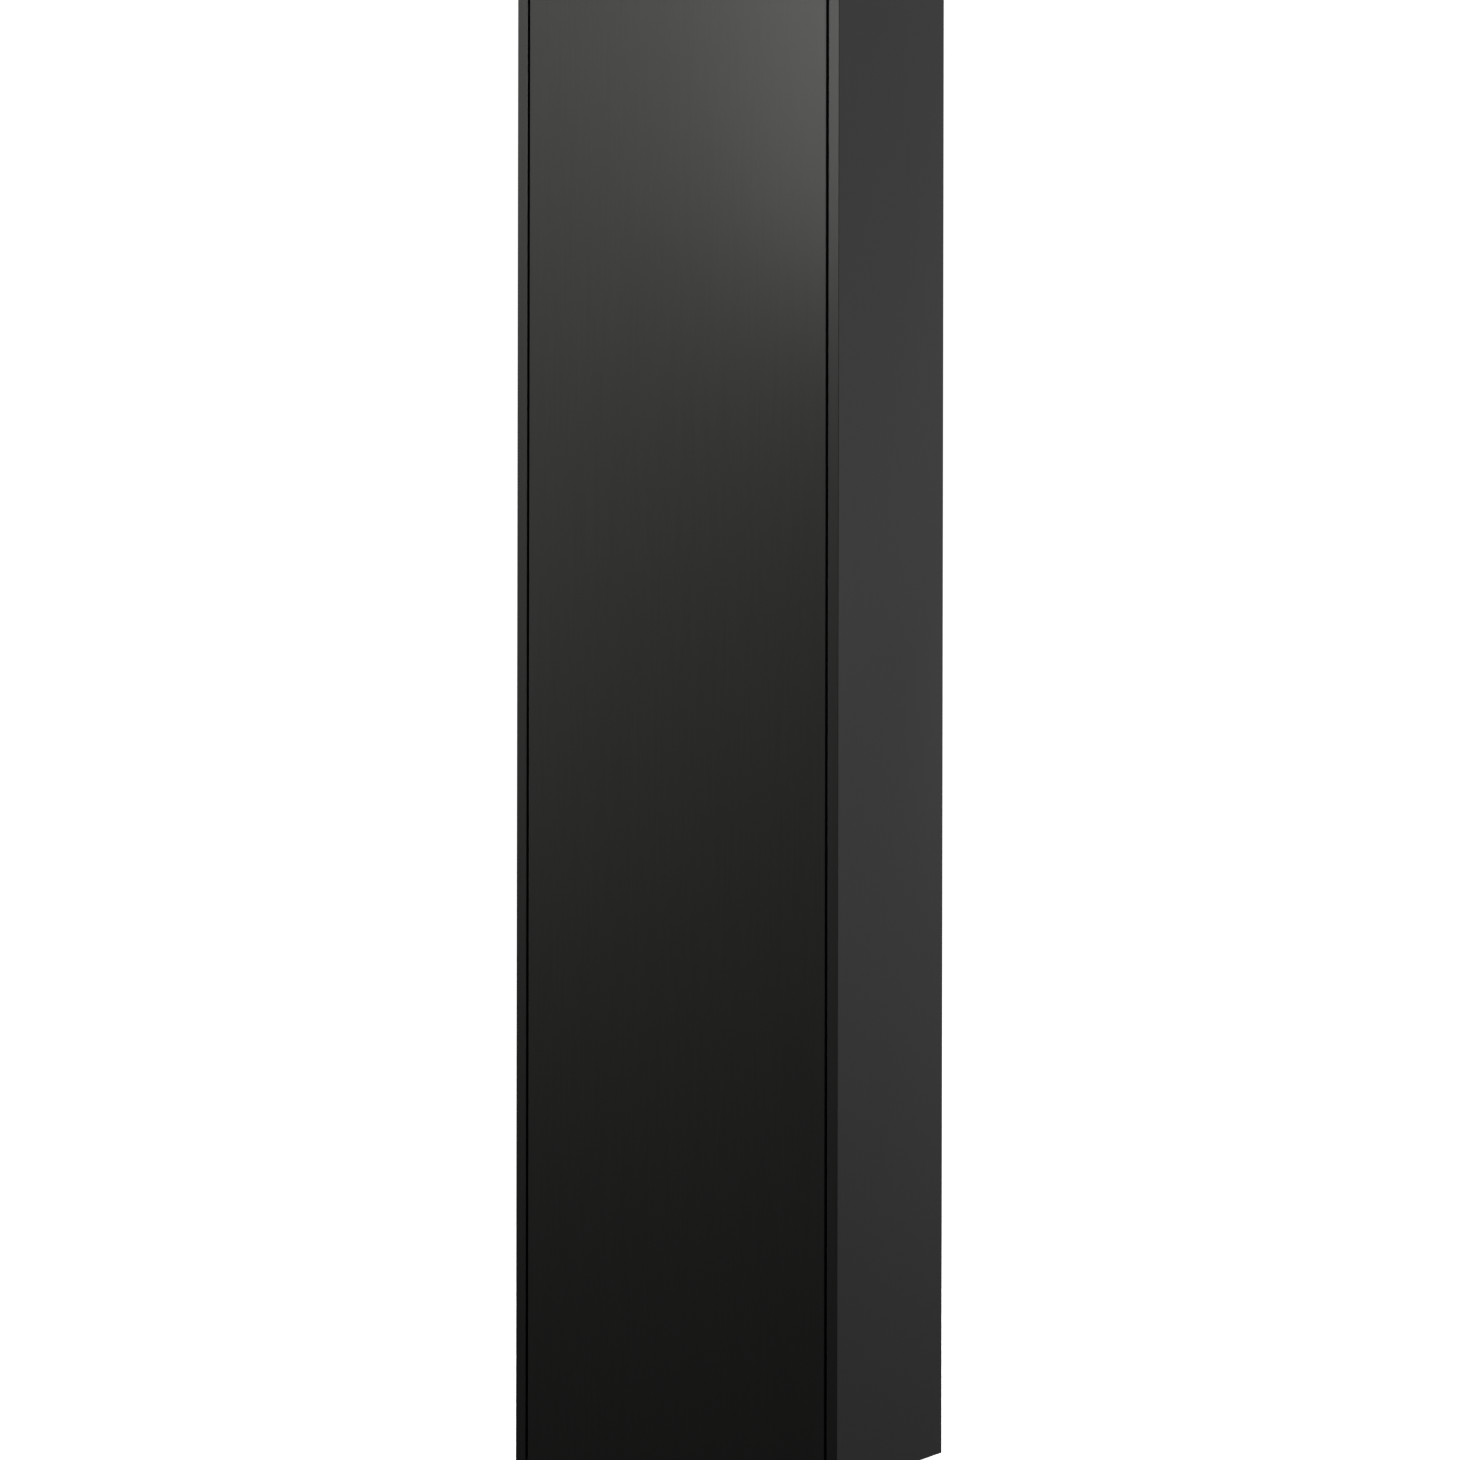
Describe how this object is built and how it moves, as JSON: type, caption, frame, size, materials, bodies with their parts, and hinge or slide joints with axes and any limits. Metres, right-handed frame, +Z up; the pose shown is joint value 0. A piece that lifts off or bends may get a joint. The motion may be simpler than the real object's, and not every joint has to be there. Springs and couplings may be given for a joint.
{
  "type": "grandfather clock",
  "caption": "Tall plain black longcase clock with flush pivot-hung doors, a glazed round dial, a falling weight and a seconds pendulum.",
  "frame": {"origin": "centre of the bounding box's footprint, on the floor", "axes": "+X to the right seen from the front, the front faces -Y, +Z up"},
  "size_m": [0.38, 0.28, 2],
  "materials": {
    "black_wood": "satin black stain over vertical grain",
    "inner_wood": "flat dark stain",
    "brass": "satin brass",
    "polished_brass": "polished brass",
    "steel": "brushed",
    "dark_steel": "black",
    "line": "stranded",
    "black_plastic": "matte",
    "glass": "clear",
    "dial_silver": "satin silvered enamel",
    "mask_black": "matte"
  },
  "bodies": {
    "case": {"left_side_panel": "black_wood", "right_side_panel": "black_wood", "top_panel": "black_wood", "base_panel": "inner_wood", "back_board": "inner_wood", "mid_rail": "inner_wood", "seat_board": "inner_wood", "seat_board_cleats": "inner_wood", "foot_inserts": "steel", "base_pivot_bracket": "dark_steel", "mid_pivot_bracket": "dark_steel", "top_pivot_bracket": "dark_steel", "latch_housings": "black_plastic", "case_screws": "steel", "front_plate": "brass", "back_plate": "brass", "plate_pillars": "polished_brass", "movement_screws": "steel", "back_cock": "brass", "dial_mask": "mask_black", "dial_disc": "dial_silver", "dial_markings": "dark_steel", "line_fall_left": "line", "line_fall_right": "line"},
    "trunk_door": {"trunk_door_panel": "black_wood", "trunk_door_fittings": "steel"},
    "hood_door": {"hood_door_frame": "black_wood", "hood_glass": "glass", "glazing_beads": "black_wood", "hood_door_fittings": "steel"},
    "trunk_latch": {"trunk_latch_plunger": "black_plastic"},
    "hood_latch": {"hood_latch_plunger": "black_plastic"},
    "foot_front_left": {"foot_front_left": "black_plastic"},
    "foot_front_right": {"foot_front_right": "black_plastic"},
    "foot_back_left": {"foot_back_left": "black_plastic"},
    "foot_back_right": {"foot_back_right": "black_plastic"},
    "great_train": {"great_wheel": "brass"},
    "barrel": {"barrel": "polished_brass", "ratchet_wheel": "steel", "line_wraps": "line"},
    "click": {"click": "steel"},
    "centre_train": {"centre_wheel": "brass", "cannon_pinion": "steel", "minute_hand": "dark_steel"},
    "minute_train": {"minute_wheel": "brass"},
    "hour_train": {"hour_wheel": "brass", "hour_hand": "dark_steel"},
    "third_train": {"third_wheel": "brass"},
    "escape_train": {"escape_wheel": "brass", "seconds_hand": "dark_steel"},
    "anchor": {"anchor": "steel"},
    "pendulum": {"suspension_spring": "steel", "pendulum_rod": "steel", "pendulum_bob": "polished_brass", "rating_nut": "polished_brass"},
    "weight": {"weight": "polished_brass", "pulley_bracket": "steel", "line_loop": "line"},
    "pulley": {"pulley": "brass"}
  },
  "joints": [
    {"name": "trunk_door_hinge", "type": "hinge", "parent": "case", "child": "trunk_door", "pos_m": [0.15925, -0.131, 0.8], "axis": [0, 0, 1], "range_deg": [0, 110]},
    {"name": "hood_door_hinge", "type": "hinge", "parent": "case", "child": "hood_door", "pos_m": [0.15925, -0.131, 1.794], "axis": [0, 0, 1], "range_deg": [0, 110]},
    {"name": "trunk_latch_push", "type": "slide", "parent": "case", "child": "trunk_latch", "axis": [0, 1, 0], "range_m": [0, 0.004], "stiffness_N_per_m": 150, "springref_m": -0.004},
    {"name": "hood_latch_push", "type": "slide", "parent": "case", "child": "hood_latch", "axis": [0, 1, 0], "range_m": [0, 0.004], "stiffness_N_per_m": 150, "springref_m": -0.004},
    {"name": "foot_front_left_turn", "type": "hinge", "parent": "case", "child": "foot_front_left", "pos_m": [-0.118, -0.095, 0.01], "axis": [0, 0, 1], "continuous": true},
    {"name": "foot_front_right_turn", "type": "hinge", "parent": "case", "child": "foot_front_right", "pos_m": [0.118, -0.095, 0.01], "axis": [0, 0, 1], "continuous": true},
    {"name": "foot_back_left_turn", "type": "hinge", "parent": "case", "child": "foot_back_left", "pos_m": [-0.118, 0.095, 0.01], "axis": [0, 0, 1], "continuous": true},
    {"name": "foot_back_right_turn", "type": "hinge", "parent": "case", "child": "foot_back_right", "pos_m": [0.118, 0.095, 0.01], "axis": [0, 0, 1], "continuous": true},
    {"name": "centre_turn", "type": "hinge", "parent": "case", "child": "centre_train", "pos_m": [0, -0.049, 1.794], "axis": [0, 1, 0], "continuous": true},
    {"name": "great_turn", "type": "hinge", "parent": "case", "child": "great_train", "pos_m": [0, -0.031, 1.742], "axis": [0, 1, 0], "continuous": true},
    {"name": "barrel_wind", "type": "hinge", "parent": "great_train", "child": "barrel", "pos_m": [0, -0.05, 1.742], "axis": [0, 1, 0], "range_deg": [0, 5730]},
    {"name": "click_lift", "type": "hinge", "parent": "great_train", "child": "click", "pos_m": [0.026, -0.0366, 1.752], "axis": [0, -1, 0], "range_deg": [0, 15], "stiffness_Nm_per_rad": 0.004, "springref_deg": -17.19},
    {"name": "minute_turn", "type": "hinge", "parent": "case", "child": "minute_train", "pos_m": [0.016, -0.082, 1.782], "axis": [0, 1, 0], "continuous": true},
    {"name": "hour_turn", "type": "hinge", "parent": "case", "child": "hour_train", "pos_m": [0, -0.095, 1.794], "axis": [0, 1, 0], "continuous": true},
    {"name": "third_turn", "type": "hinge", "parent": "case", "child": "third_train", "pos_m": [-0.01768, -0.049, 1.82007], "axis": [0, 1, 0], "continuous": true},
    {"name": "escape_turn", "type": "hinge", "parent": "case", "child": "escape_train", "pos_m": [0, -0.049, 1.844], "axis": [0, 1, 0], "continuous": true},
    {"name": "pendulum_swing", "type": "hinge", "parent": "case", "child": "pendulum", "pos_m": [0, 0.015, 1.87228], "axis": [0, 1, 0], "range_deg": [-2.5, 2.5]},
    {"name": "anchor_rock", "type": "hinge", "parent": "case", "child": "anchor", "pos_m": [0, -0.04, 1.87228], "axis": [0, 1, 0], "range_deg": [-2.5, 2.5]},
    {"name": "weight_lift", "type": "slide", "parent": "case", "child": "weight", "axis": [0, 0, 1], "range_m": [0, 1.1], "deforming": ["line_fall_left", "line_fall_right"]},
    {"name": "pulley_turn", "type": "hinge", "parent": "weight", "child": "pulley", "pos_m": [0, -0.05, 0.48], "axis": [0, 1, 0], "range_deg": [0, 2865]}
  ],
  "couplings": [
    {"joint": "great_turn", "follows": "centre_turn", "ratio": -0.083333},
    {"joint": "minute_turn", "follows": "centre_turn", "ratio": -0.33333},
    {"joint": "hour_turn", "follows": "centre_turn", "ratio": 0.083333},
    {"joint": "third_turn", "follows": "centre_turn", "ratio": -8},
    {"joint": "escape_turn", "follows": "centre_turn", "ratio": 60},
    {"joint": "anchor_rock", "follows": "pendulum_swing", "ratio": 1},
    {"joint": "barrel_wind", "follows": "weight_lift", "rad_per_m": 90.909},
    {"joint": "pulley_turn", "follows": "weight_lift", "rad_per_m": 45.455}
  ]
}
